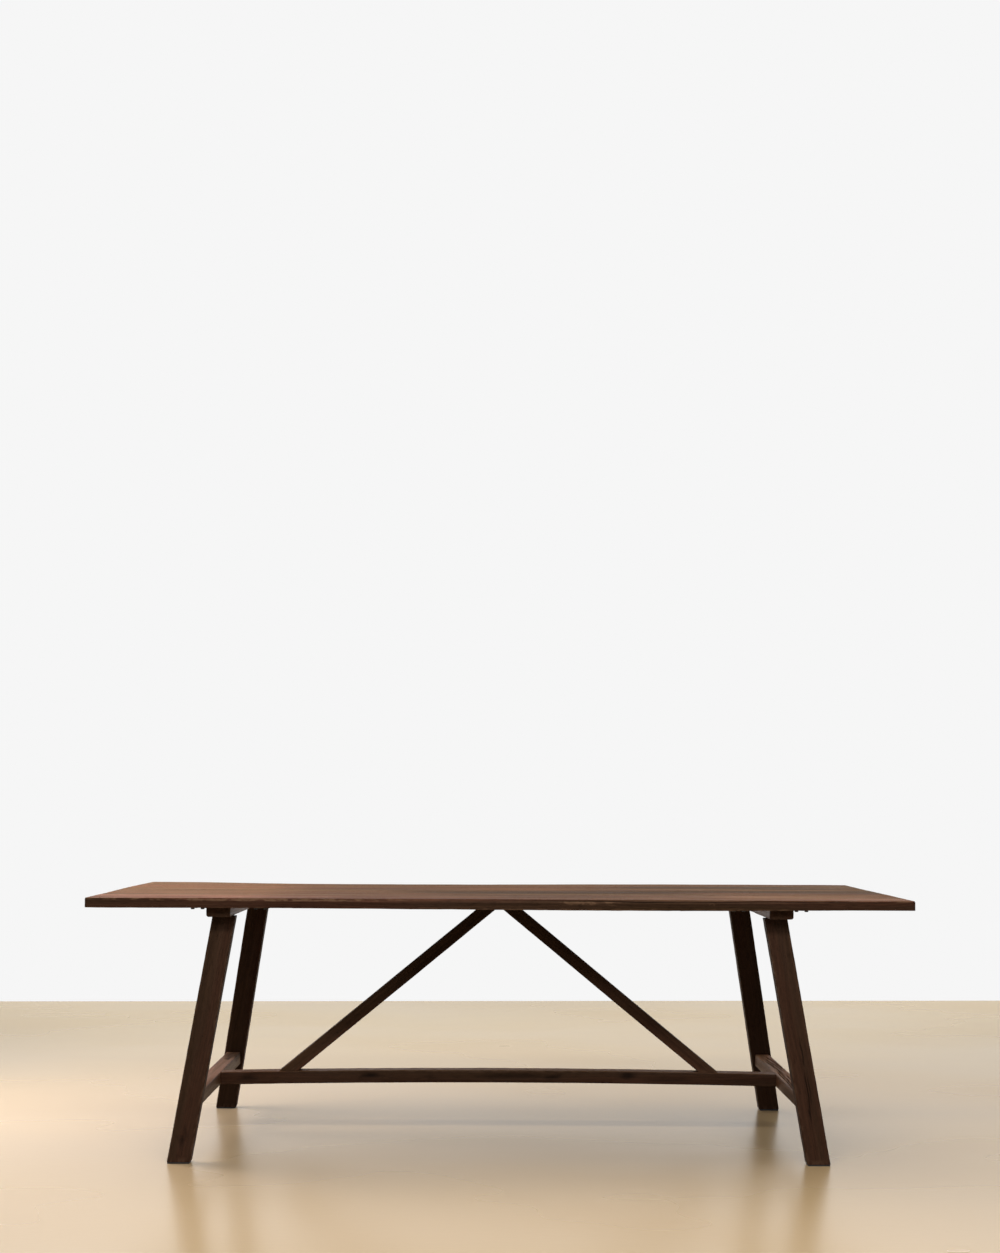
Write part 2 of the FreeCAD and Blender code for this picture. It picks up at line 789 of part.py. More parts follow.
def build_cleat(side):
    """A batten under the top, with its outer lower arris rounded"""
    cleat = block((side * cleat_inner_x, side * cleat_outer_x), (-cleat_end_y, cleat_end_y),
                  (cleat_underside, top_underside))
    long_edges = edges_along(cleat, along_y, cleat_end_y)
    lower = [edge for edge in long_edges if edge.CenterOfMass.z < (cleat_underside + top_underside) / 2]
    outer = [edge for edge in lower if side * edge.CenterOfMass.x > (cleat_inner_x + cleat_outer_x) / 2]
    cleat = cleat.makeFillet(cleat_rounding, outer)
    inner = [edge for edge in edges_along(cleat, along_y, cleat_end_y)
             if edge.CenterOfMass.z < cleat_underside + cleat_arris
             and side * edge.CenterOfMass.x < cleat_inner_x + cleat_arris]
    cleat = cleat.makeChamfer(cleat_arris, inner)
    cutters = [arm_notch(side, row) for row, _ in rows]
    for row, _ in rows:
        head = leg_centre(side, row, cleat_underside)
        cutters.append(block(about(head.x, leg_tenon_width + 2 * joint_gap),
                             about(head.y, leg_tenon_depth + 2 * joint_gap),
                             (head.z - overrun, head.z + leg_tenon_height + joint_gap)))
    for screw_side, x, y in cleat_screw_places():
        if screw_side == side:
            cutters += expansion_slot(x, y)
    return cleat.cut(cutters).Solids[0]


# Foot glides


def build_glide(side, row):
    """A plastic pad under a foot, with a recess for its nail's head"""
    foot = leg_centre(side, row, 0)
    inset = glide_inset + foot_arris
    pad = rounded_plate(foot.x, foot.y, leg_width - 2 * inset, leg_depth - 2 * inset,
                        glide_corner_radius, 0, glide_thickness)
    shank = leg_centre(side, row, glide_thickness)
    recess = rod(glide_nail_head_radius + passing_hole_gap, glide_recess, point(shank.x, shank.y, 0), up)
    hole = rod(glide_nail_radius + hole_gap, glide_thickness, point(shank.x, shank.y, 0), up)
    return pad.cut([recess, hole])


def build_glide_nail(side, row):
    shank = leg_centre(side, row, glide_thickness)
    profile = [
        (0, -glide_nail_head_height),
        (glide_nail_head_radius, -glide_nail_head_height),
        (glide_nail_head_radius, 0),
        (glide_nail_radius, 0),
        (glide_nail_radius, glide_nail_length - glide_recess - 2 * glide_nail_radius),
        (0, glide_nail_length - glide_recess),
    ]
    return turned(profile, point(shank.x, shank.y, glide_recess), up)


# Leaf arms and what guides them


def build_arm(side, row):
    """A flat steel bar with a finger hole outboard and a hole for its stop pin inboard"""
    middle_y = row * arm_offset
    bar = block((side * arm_inner_x, side * arm_outer_x), about(middle_y, arm_width), (arm_bottom, arm_top))
    corners = edges_along(bar, up, arm_thickness / 2)
    outer = [edge for edge in corners if side * edge.CenterOfMass.x > (arm_inner_x + arm_outer_x) / 2]
    bar = bar.makeFillet(arm_corner_radius, outer)
    hole_x = side * (arm_outer_x - finger_hole_inset)
    wide = finger_hole_radius + finger_hole_chamfer
    finger_hole = turned(
        [
            (0, 0),
            (wide, 0),
            (finger_hole_radius, finger_hole_chamfer),
            (finger_hole_radius, arm_thickness - finger_hole_chamfer),
            (wide, arm_thickness),
            (0, arm_thickness),
        ],
        point(hole_x, middle_y, arm_bottom), up,
    )
    pin_place = point(side * stop_pin_x, middle_y, arm_bottom)
    pin_hole = rod(stop_pin_radius + hole_gap, arm_thickness, pin_place, up)
    return bar.cut([finger_hole, pin_hole])


def build_stop_pin(side, row):
    """The pin that meets the inner keeper when its arm is fully out"""
    profile = [
        (0, 0),
        (stop_pin_radius - stop_pin_chamfer, 0),
        (stop_pin_radius, stop_pin_chamfer),
        (stop_pin_radius, arm_thickness + stop_pin_reach),
        (0, arm_thickness + stop_pin_reach),
    ]
    return turned(profile, point(side * stop_pin_x, row * arm_offset, arm_bottom - stop_pin_reach), up)


def build_keeper_plate(middle_x, middle_y):
    plate = rounded_plate(middle_x, middle_y, keeper_length, 2 * (spacer_inner_offset + spacer_width),
                          keeper_corner_radius, keeper_plate_bottom, keeper_plate_thickness)
    return plate.cut(keeper_holes(middle_x, middle_y, keeper_plate_bottom, keeper_plate_thickness))


def keeper_holes(middle_x, middle_y, bottom, height):
    holes = []
    for x in about(middle_x, keeper_bolt_spacing):
        for y in about(middle_y, 2 * keeper_bolt_offset):
            holes.append(rod(keeper_bolt_radius + passing_hole_gap, height, point(x, y, bottom), up))
    return holes


def build_spacers(middle_x, middle_y):
    """The two hardwood strips that a keeper plate is bolted against, one each side of the arm"""
    height = top_underside - keeper_plate_top
    holes = keeper_holes(middle_x, middle_y, keeper_plate_top, height)
    strips = []
    for y in about(middle_y, 2 * keeper_bolt_offset):
        strip = block(about(middle_x, keeper_length), about(y, spacer_width),
                      (keeper_plate_top, top_underside))
        strips.append(strip.cut(holes))
    return strips


def build_keeper_bolts(side):
    """The bolts of one end of the table, up through plate and strip into the planks"""
    length = keeper_plate_thickness + top_underside - keeper_plate_top + keeper_bolt_grip
    return [
        hex_bolt(point(x, y, keeper_plate_bottom), up, keeper_bolt_radius, length, keeper_bolt_head_flats,
                 keeper_bolt_head_height, keeper_bolt_flange_radius, keeper_bolt_flange_height)
        for bolt_side, x, y in keeper_bolt_places() if bolt_side == side
    ]


def build_buffer(x, y):
    """A rubber block with its screw sunk in it"""
    bottom = top_underside - buffer_height
    pad = block(about(x, buffer_length), about(y, buffer_width), (bottom, top_underside))
    lower = [edge for edge in pad.Edges if edge.BoundBox.ZMax < bottom + buffer_chamfer]
    pad = pad.makeChamfer(buffer_chamfer, lower)
    recess = rod(buffer_recess_radius, buffer_recess_depth, point(x, y, bottom), up)
    hole = rod(screw_shank_radius + passing_hole_gap, buffer_height, point(x, y, bottom), up)
    return pad.cut([recess, hole])


def build_socket(side, row):
    """A brass tube, flush with the end of the top, with a chamfered mouth"""
    profile = [
        (socket_bore_radius + socket_mouth_chamfer, 0),
        (socket_radius, 0),
        (socket_radius, socket_length),
        (socket_bore_radius, socket_length),
        (socket_bore_radius, socket_mouth_chamfer),
    ]
    return turned(profile, socket_mouth(side, row), point(-side, 0))


# Groups of fasteners


def build_cleat_screws(side):
    seat = cleat_underside + screw_recess_depth
    length = top_underside - seat + screw_grip
    return [wood_screw(point(x, y, seat), up, length)
            for screw_side, x, y in cleat_screw_places() if screw_side == side]


def build_brace_screws():
    screws = []
    for x, y in brace_screw_places():
        seat = brace_screw_seat(x)
        length = stretcher_level(x, stretcher_end_top) + brace_screw_grip - seat
        screws.append(wood_screw(point(x, y, seat), up, length))
    return screws


def build_buffer_screws():
    seat = top_underside - buffer_height + buffer_recess_depth
    length = buffer_height - buffer_recess_depth + screw_grip
    return [wood_screw(point(x, y, seat), up, length) for x, y in buffer_places()]


def build_brace_dowels():
    bottom = top_underside - brace_dowel_depth_in_brace
    length = brace_dowel_depth_in_brace + brace_dowel_depth_in_top
    return [rod(brace_dowel_radius, length, point(x, y, bottom), up) for x, y in brace_dowel_places()]


def build_stretcher_bolts():
    return [
        hex_bolt(point(side * stretcher_bolt_seat(), 0, stretcher_bolt_level()), point(-side, 0),
                 stretcher_bolt_radius, stretcher_bolt_length(), stretcher_bolt_head_flats,
                 stretcher_bolt_head_height, stretcher_bolt_flange_radius, stretcher_bolt_flange_height)
        for side, _ in sides
    ]


def build_barrel_nuts():
    """Steel barrels across the ends of the centre stretcher, each bored for its bolt"""
    nuts = []
    for side, _ in sides:
        middle = barrel_nut_place(side)
        nut = rod(barrel_nut_radius, barrel_nut_height, middle - point(0, 0, barrel_nut_height / 2), up)
        nuts.append(nut.cut(stretcher_bolt_hole(side, hole_gap)))
    return nuts


os.makedirs("parts", exist_ok=True)

build_planks()
save("centre_stretcher", build_centre_stretcher())
for side, side_name in sides:
    save("cleat_" + side_name, build_cleat(side))
    save("side_stretcher_" + side_name, build_side_stretcher(side))
    save("brace_" + side_name, build_brace(side))
    save("keeper_bolts_" + side_name, *build_keeper_bolts(side))
    save("cleat_screws_" + side_name, *build_cleat_screws(side))
    save("leaf_sockets_" + side_name, *[build_socket(side, row) for row, _ in rows])
    for row, row_name in rows:
        corner = row_name + "_" + side_name
        outer_x, inner_x, middle_y = keeper_places(side, row)
        save("leg_" + corner, build_leg(side, row))
        save("foot_glide_" + corner, build_glide(side, row))
        save("leaf_arm_" + corner, build_arm(side, row))
        save("arm_stop_pin_" + corner, build_stop_pin(side, row))
        save("arm_buffer_" + corner, build_buffer(side * buffer_x, middle_y))
        for place, middle_x in (("outer", outer_x), ("inner", inner_x)):
            save(place + "_keeper_plate_" + corner, build_keeper_plate(middle_x, middle_y))
            save(place + "_keeper_strips_" + corner, *build_spacers(middle_x, middle_y))
save("glide_nails", *[build_glide_nail(side, row) for side, _ in sides for row, _ in rows])
save("brace_screws", *build_brace_screws())
save("buffer_screws", *build_buffer_screws())
save("brace_dowels", *build_brace_dowels())
save("stretcher_bolts", *build_stretcher_bolts())
save("stretcher_barrel_nuts", *build_barrel_nuts())
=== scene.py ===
import math
from collections import namedtuple

import bmesh
import bpy
import numpy as np
from mathutils import Matrix, Vector


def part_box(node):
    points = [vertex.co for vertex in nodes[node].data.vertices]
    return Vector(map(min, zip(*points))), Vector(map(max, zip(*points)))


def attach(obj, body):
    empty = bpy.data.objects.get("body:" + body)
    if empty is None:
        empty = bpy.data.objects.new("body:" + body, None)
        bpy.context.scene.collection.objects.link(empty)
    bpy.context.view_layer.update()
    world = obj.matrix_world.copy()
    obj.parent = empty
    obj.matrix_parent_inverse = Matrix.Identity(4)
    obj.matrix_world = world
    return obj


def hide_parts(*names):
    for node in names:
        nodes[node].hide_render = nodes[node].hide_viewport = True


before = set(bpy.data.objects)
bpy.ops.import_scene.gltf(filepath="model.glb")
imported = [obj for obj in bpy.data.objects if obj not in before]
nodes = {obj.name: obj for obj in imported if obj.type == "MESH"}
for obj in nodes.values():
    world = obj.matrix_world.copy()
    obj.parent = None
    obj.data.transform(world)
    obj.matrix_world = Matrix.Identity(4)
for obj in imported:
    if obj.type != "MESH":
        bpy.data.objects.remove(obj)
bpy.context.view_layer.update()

# All lengths are in metres. X runs along the table, Y from its front to its rear, and Z upwards.

SIDES = ((-1, "left"), (1, "right"))
ROWS = ((-1, "front"), (1, "rear"))
CORNERS = [(side, row, row_name + "_" + side_name) for side, side_name in SIDES for row, row_name in ROWS]
X_AXIS, Y_AXIS, Z_AXIS = range(3)

# Camera, as fitted to the photograph. Its angles are in radians.
SENSOR_WIDTH = 36
LENS = 51.43
LENS_SHIFT = (-0.00036, 0.0636)
CAMERA_PLACE = (-0.0311, -5.6796, 1.0452)
CAMERA_TURN = -0.0055
CAMERA_TILT = 0.0525
CAMERA_ROLL = 0.005
SIGHT = 100

# Middle lines of the pieces that slant, for the right and the rear side
BRACE_FOOT, BRACE_HEAD = (0.662, 0, 0.192), (0.005, 0, 0.7315)
LEG_FOOT, LEG_HEAD = (0.920, 0.4625, 0), (0.8085, 0.393, 0.703)

# Wood: how fine each noise is along the grain and across it
SWAY_SCALE = (1.3, 7, 7)
JITTER_SCALE = (9, 40, 40)
STREAK_SCALE = (1.7, 48, 48)
BAND_SCALE = (0.9, 14, 14)
FIBRE_SCALE = (16, 850, 850)
PORE_SCALE = (38, 1500, 1500)
HUE_SCALE = (0.7, 19, 19)
RUB_SCALE = (30, 90, 90)
RING_SCALE = 230
# How far the growth rings wander
RING_SWAY = 0.05
RING_JITTER = 0.006
# What each layer adds to the tone, and the tones of the dark, middle and light colours
RING_SHARE = 0.28
STREAK_SHARE = 0.34
FIBRE_SHARE = 0.16
BAND_SHARE = 0.22
TONES = (0.26, 0.49, 0.72)
HUES = (0.38, 0.5, 0.62)
# What tinted planks, pores, rubbed arrises and cracks do to the colour. The rubbed colour also paints a few
# highlights; the colour of cracks is painted shade, and it also paints shade on some dark patches and darkens
# knotted spots.
TINT = (1.02, 1.0, 0.80)
PORE_COLOUR_SHARE = 0.3
PORE_COVER = 0.55
RUB_COVER = 0.7
CRACK_COLOUR_SHARE = 0.22
# Relief of the rings and fibres, and of the streaks
GRAIN_RELIEF = 0.00035
STREAK_RELIEF = 0.0006
# What pores, polish and cracks do to the roughness
PORE_ROUGHNESS = 0.2
POLISH = 0.2
CRACK_ROUGHNESS = 0.25

# Metal, rubber and plastic
MOTTLE_SCALE = (60, 60, 60)
SCRATCH_SCALE = (90, 2200, 2200)

# World light, the background that the camera sees instead, and the floor. Light that bounces off the floor is
# darker than what the camera sees, so the table's underside stays dark. Screen colours go from 0 to 255.
WORLD_LIGHT = (0.05, 0.05, 0.05)
BACKGROUND = (246, 246, 246)
NEAR_COLOURS = ((210, 179, 134), (201, 170, 125))
# Towards the back the floor is painted paler, as painted light where the lamps reach less
FAR_COLOUR = (238, 206, 148)
PLAIN_COLOUR = (214, 196, 168)
FLOOR_CORNERS = [(-14, -12, 0), (14, -12, 0), (14, 4.35, 0), (-14, 3.09, 0)]
CLOUD_SCALE = (0.5, 0.9, 1)
FLOOR_GRAIN_SCALE = (25, 60, 1)
FLOOR_BOUNCE = (0.12, 0.09, 0.06)
FLOOR_GLOSS = 0.35
FLOOR_GLOSS_TINT = (1, 0.88, 0.70)
FLOOR_RELIEF = 0.0002
# Over these distances back the floor turns to its paler colour, which is painted light
FAR_FLOOR = (0.3, 3.2)
# From the first to the second of these places, to the side and to the front, the floor turns evenly pale.
# Only other views show it there.
PLAIN_ASIDE = (3.6, 6.5)
PLAIN_BEFORE = (-3.0, -6.5)

# Shaping of the wood: cuts, and how deep wear goes
WELD_DISTANCE = 1e-6
CUT_TOLERANCE = 2e-5
ARRIS_CUT = 0.004
END_CUTS = (0.0012, 0.0028, 0.0055)
CRACK_CUTS = (-2, -1.2, -0.6, 0, 0.6, 1.2, 2)
END_BAND = 0.004
SKIN = 0.0045
ARRIS_REACH = 0.006
SOFT_REACH = 0.0045
PLANING_DEPTH = 0.00025
ARRIS_DEPTH = 0.0007
BROAD_SCALE = (7, 26, 26)
FINE_SCALE = (38, 90, 90)
WEAR_REACH = (0.0015, 0.007)
SHARP_ANGLE = 50
# Smooth noise is the sum of this many waves, over a number that keeps it within about 1
WAVES = 7
WAVE_STRETCH = 2.2
WAVE_SUM = 4.2
# Seeds of the pieces, apart from the planks, which count from 1
STRETCHER_SEED, CLEAT_SEED, SIDE_SEED, BRACE_SEED, LEG_SEED, STRIP_SEED = 6, 7, 9, 11, 14, 30

# column is the direction across the crack, 1 or 2 for the first or second axis across the timber, and face is
# the side of the other one. across is measured from the middle line, start and end along it.
Crack = namedtuple("Crack", "column face across start end width depth slant dark", defaults=(0, 0.9))
# A dark spot: most are knots, and a few are patches of painted shade
Knot = namedtuple("Knot", "place size depth dark", defaults=(0.7,))
# A pale spot raises the rubbed colour: most are chips, and a few are painted highlights
Chip = namedtuple("Chip", "place size depth")
# A long band of darker or paler tone, by its places in the frame. Some are the wood's own tone, others painted
# light
Streak = namedtuple("Streak", "start end middle width amount")


def make_camera():
    data = bpy.data.cameras.new("camera")
    data.sensor_width = SENSOR_WIDTH
    data.lens = LENS
    data.shift_x, data.shift_y = LENS_SHIFT
    data.clip_end = SIGHT
    camera = bpy.data.objects.new("camera", data)
    bpy.context.scene.collection.objects.link(camera)
    turn = Matrix.Rotation(CAMERA_TURN, 4, "Z") @ Matrix.Rotation(math.pi / 2 + CAMERA_TILT, 4, "X")
    camera.matrix_world = Matrix.Translation(CAMERA_PLACE) @ turn @ Matrix.Rotation(CAMERA_ROLL, 4, "Z")
    bpy.context.scene.camera = camera


# Node helpers

class Graph:
    """The node tree of a material or of the world, with short calls for the nodes used here"""

    def __init__(self, owner):
        owner.use_nodes = True
        self.owner, self.tree = owner, owner.node_tree
        self.shader = self.tree.nodes.get("Principled BSDF") or self.tree.nodes.get("Background")

    def node(self, kind, **settings):
        made = self.tree.nodes.new(kind)
        for key, value in settings.items():
            setattr(made, key, value)
        return made

    def feed(self, socket, value):
        """Links or sets a socket. Colours are given without their alpha."""
        if isinstance(value, bpy.types.NodeSocket):
            self.tree.links.new(value, socket)
        elif socket.type == "RGBA":
            socket.default_value = (*value, 1.0)
        else:
            socket.default_value = value

    def set(self, name, value):
        self.feed(self.shader.inputs[name], value)

    def math(self, operation, first, second=0.0, clamp=False):
        made = self.node("ShaderNodeMath", operation=operation, use_clamp=clamp)
        self.feed(made.inputs[0], first)
        self.feed(made.inputs[1], second)
        return made.outputs[0]

    def attribute(self, name, output="Fac"):
        return self.node("ShaderNodeAttribute", attribute_name=name).outputs[output]

    def object_place(self):
        return self.node("ShaderNodeTexCoord").outputs["Object"]

    def split(self, vector):
        made = self.node("ShaderNodeSeparateXYZ")
        self.feed(made.inputs[0], vector)
        return made.outputs

    def noise(self, vector, scale, detail=2.0, roughness=0.5):
        """Noise over a vector that is first stretched by scale"""
        stretched = self.node("ShaderNodeVectorMath", operation="MULTIPLY")
        self.feed(stretched.inputs[0], vector)
        self.feed(stretched.inputs[1], scale)
        made = self.node("ShaderNodeTexNoise")
        values = {"Vector": stretched.outputs[0], "Scale": 1.0, "Detail": detail, "Roughness": roughness}
        for name, value in values.items():
            self.feed(made.inputs[name], value)
        return made.outputs["Fac"]

    def ramp(self, value, places, colours):
        made = self.node("ShaderNodeValToRGB")
        elements = made.color_ramp.elements
        while len(elements) < len(places):
            elements.new(0.5)
        for element, place, colour in zip(elements, places, colours):
            element.position = place
            element.color = (*colour, 1.0)
        self.feed(made.inputs[0], value)
        return made.outputs[0]

    def span(self, value, low, high, to_low=0.0, to_high=1.0):
        """A value taken smoothly from one range to another"""
        made = self.node("ShaderNodeMapRange", interpolation_type="SMOOTHSTEP")
        for socket, number in zip(made.inputs, (value, low, high, to_low, to_high)):
            self.feed(socket, number)
        return made.outputs[0]

    def mix(self, share, first, second, blend="MIX"):
        made = self.node("ShaderNodeMix", data_type="RGBA", blend_type=blend)
        # A colour mix takes its share from socket 0, its colours from 6 and 7, and gives its result at 2
        for index, value in ((0, share), (6, first), (7, second)):
            self.feed(made.inputs[index], value)
        return made.outputs[2]

    def tinted(self, share, colour, factor):
        """A colour, multiplied by a factor as far as share says"""
        return self.mix(share, colour, self.mix(1.0, colour, factor, "MULTIPLY"))

    def bump(self, height, distance, below=None):
        made = self.node("ShaderNodeBump")
        self.feed(made.inputs["Distance"], distance)
        self.feed(made.inputs["Height"], height)
        if below is not None:
            self.feed(made.inputs["Normal"], below)
        return made.outputs[0]

    def seen(self):
        """1 where the camera sees a surface, also by way of gloss or glass, and 0 for light it gives"""
        rays = self.node("ShaderNodeLightPath").outputs
        indirectly = self.math("MAXIMUM", rays["Is Glossy Ray"], rays["Is Transmission Ray"])
        return self.math("MAXIMUM", rays["Is Camera Ray"], indirectly)

    def cover(self, share, kind, colour):
        """Puts an even light or background colour over the first shader as far as share says"""
        cover = self.node(kind)
        self.feed(cover.inputs["Color"], colour)
        join = self.node("ShaderNodeMixShader")
        for socket, value in zip(join.inputs, (share, self.shader.outputs[0], cover.outputs[0])):
            self.feed(socket, value)
        output = next(node for node in self.tree.nodes if node.name.endswith("Output"))
        self.feed(output.inputs["Surface"], join.outputs[0])


def rgb(red, green, blue):
    """A colour written as it looks on screen, from 0 to 255"""
    linear = []
    for value in (red, green, blue):
        share = value / 255
        linear.append(share / 12.92 if share <= 0.04045 else ((share + 0.055) / 1.055) ** 2.4)
    return tuple(linear)


def scaled(colour, factor):
    return tuple(share * factor for share in colour)


# Materials

def growth_rings(g, place):
    """Rings round the pith, which lies along the first axis of the grain place"""
    _, across, up = g.split(place)
    radius = g.math("SQRT", g.math("ADD", g.math("POWER", across, 2), g.math("POWER", up, 2)))
    sway = g.math("MULTIPLY", g.noise(place, SWAY_SCALE), RING_SWAY)
    jitter = g.math("MULTIPLY", g.noise(place, JITTER_SCALE), RING_JITTER)
    ring = g.node("ShaderNodeTexNoise", noise_dimensions="1D")
    g.feed(ring.inputs["W"], g.math("ADD", radius, g.math("ADD", sway, jitter)))
    g.feed(ring.inputs["Scale"], RING_SCALE)
    g.feed(ring.inputs["Detail"], 2.5)
    return ring.outputs["Fac"]


def wood(name, dark, middle, light, warm, olive, worn, roughness, gloss, lift=1.0):
    """Stained, lightly brushed wood. It reads what Timber.shape stores on the points: the grain place, and
    how far each is tinted, painted paler as painted light on lit faces, toned (partly painted light), rubbed
    (with a few painted highlights), polished, or darkened by painted shade in cracks and patches and at knotted
    spots."""
    g = Graph(bpy.data.materials.new(name))
    place = g.attribute("grain", "Vector")
    rings = growth_rings(g, place)
    streaks = g.noise(place, STREAK_SCALE, detail=4, roughness=0.6)
    bands = g.noise(place, BAND_SCALE)
    fibres = g.noise(place, FIBRE_SCALE, detail=3, roughness=0.7)
    pores = g.span(g.noise(place, PORE_SCALE, detail=1), 0.60, 0.72)
    # Painted shade in cracks and in some dark patches, and the dark of knotted spots
    crack = g.attribute("shade")

    tone = g.math("ADD", g.math("MULTIPLY", rings, RING_SHARE), g.math("MULTIPLY", streaks, STREAK_SHARE))
    tone = g.math("ADD", tone, g.math("MULTIPLY", fibres, FIBRE_SHARE))
    tone = g.math("ADD", tone, g.math("MULTIPLY", bands, BAND_SHARE))
    broken = g.math("MULTIPLY", g.attribute("tone"), g.span(streaks, 0.36, 0.64, 0.35, 1.65))
    colour = g.ramp(g.math("ADD", tone, broken), TONES, (dark, middle, light))
    hue = g.ramp(g.noise(place, HUE_SCALE), HUES, (warm, (1, 1, 1), olive))
    colour = g.mix(1.0, colour, hue, "MULTIPLY")
    colour = g.tinted(g.attribute("tint"), colour, TINT)
    # Painted light: lit tops and sides are made paler
    colour = g.tinted(g.attribute("lift"), colour, (lift, lift, lift))
    colour = g.mix(g.math("MULTIPLY", pores, PORE_COVER), colour, scaled(dark, PORE_COLOUR_SHARE))
    # Rubbed arrises, and a few spots of painted highlight, take the rubbed colour
    rubbed = g.span(g.noise(place, RUB_SCALE, detail=3), 0.42, 0.62)
    rub = g.math("MULTIPLY", g.attribute("wear"), rubbed, clamp=True)
    colour = g.mix(g.math("MULTIPLY", rub, RUB_COVER), colour, worn)
    g.set("Base Color", g.mix(crack, colour, scaled(dark, CRACK_COLOUR_SHARE)))

    rough = g.span(streaks, 0.3, 0.7, roughness + 0.10, roughness - 0.06)
    rough = g.math("ADD", rough, g.math("MULTIPLY", pores, PORE_ROUGHNESS))
    rough = g.math("SUBTRACT", rough, g.math("MULTIPLY", g.attribute("polish"), POLISH))
    g.set("Roughness", g.math("ADD", rough, g.math("MULTIPLY", crack, CRACK_ROUGHNESS), clamp=True))
    g.set("Specular IOR Level", gloss)
    relief = g.math("SUBTRACT", g.math("ADD", rings, g.math("MULTIPLY", fibres, 0.7)), pores)
    g.set("Normal", g.bump(relief, GRAIN_RELIEF, g.bump(streaks, STREAK_RELIEF)))
    return g.owner


def plain(name, colour, other, roughness, grain, relief, metallic=0.0, scratch=0.0, coat=0.0):
    """Metal, rubber or plastic with mottled colour, uneven shine and a fine grain"""
    g = Graph(bpy.data.materials.new(name))
    place = g.object_place()
    mottle = g.noise(place, MOTTLE_SCALE, detail=4, roughness=0.6)
    mottled = g.mix(g.span(mottle, 0.35, 0.68), colour, other)
    marks = g.math("MULTIPLY", g.span(g.noise(place, SCRATCH_SCALE), 0.62, 0.72), scratch)
    bare = tuple(min(1, share * 2.2 + 0.02) for share in other)
    g.set("Base Color", g.mix(marks, mottled, bare))
    g.set("Metallic", metallic)
    g.set("Coat Weight", coat)
    g.set("Roughness", g.span(mottle, 0.3, 0.7, roughness - 0.07, roughness + 0.10))
    g.set("Normal", g.bump(g.noise(place, (grain, grain, grain), detail=3), relief))
    return g.owner


def floor_material():
    g = Graph(bpy.data.materials.new("floor"))
    place = g.object_place()
    cloud = g.noise(place, CLOUD_SCALE, detail=3)
    sideways, backwards, _ = g.split(place)
    near = g.mix(cloud, *(rgb(*colour) for colour in NEAR_COLOURS))
    # Painted light: the floor turns paler towards the back
    pale = g.mix(g.span(backwards, *FAR_FLOOR), near, rgb(*FAR_COLOUR))
    seen = g.seen()
    g.set("Base Color", g.mix(seen, FLOOR_BOUNCE, pale))
    g.set("Roughness", g.span(cloud, 0.3, 0.7, 0.22, 0.30))
    g.set("Specular IOR Level", FLOOR_GLOSS)
    g.set("Specular Tint", FLOOR_GLOSS_TINT)
    g.set("Normal", g.bump(g.noise(place, FLOOR_GRAIN_SCALE, detail=3), FLOOR_RELIEF))
    aside = g.span(g.math("ABSOLUTE", sideways), *PLAIN_ASIDE)
    away = g.math("MAXIMUM", aside, g.span(backwards, *PLAIN_BEFORE))
    g.cover(g.math("MULTIPLY", away, seen), "ShaderNodeEmission", rgb(*PLAIN_COLOUR))
    return g.owner


# Wooden pieces: the CAD shape, cut finer, with worn arrises, planed unevenness, knots and cracks

def smooth_noise(points, seed):
    """Smooth values from about -1 to 1 at many points, from sums of seeded waves"""
    rng = np.random.default_rng(seed)
    total = np.zeros(len(points))
    for _ in range(WAVES):
        direction = rng.normal(size=3)
        total += np.sin(points @ direction * WAVE_STRETCH + rng.uniform(0, 2 * math.pi))
    return total / WAVE_SUM


def rise(value, low, high):
    """From 0 at low smoothly to 1 at high"""
    share = np.clip((value - low) / (high - low), 0, 1)
    return share * share * (3 - 2 * share)


def read(vertices, name):
    values = np.empty(len(vertices) * 3)
    vertices.foreach_get(name, values)
    return values.reshape(-1, 3)


def unit(axis):
    made = Vector((0, 0, 0))
    made[axis] = 1
    return made


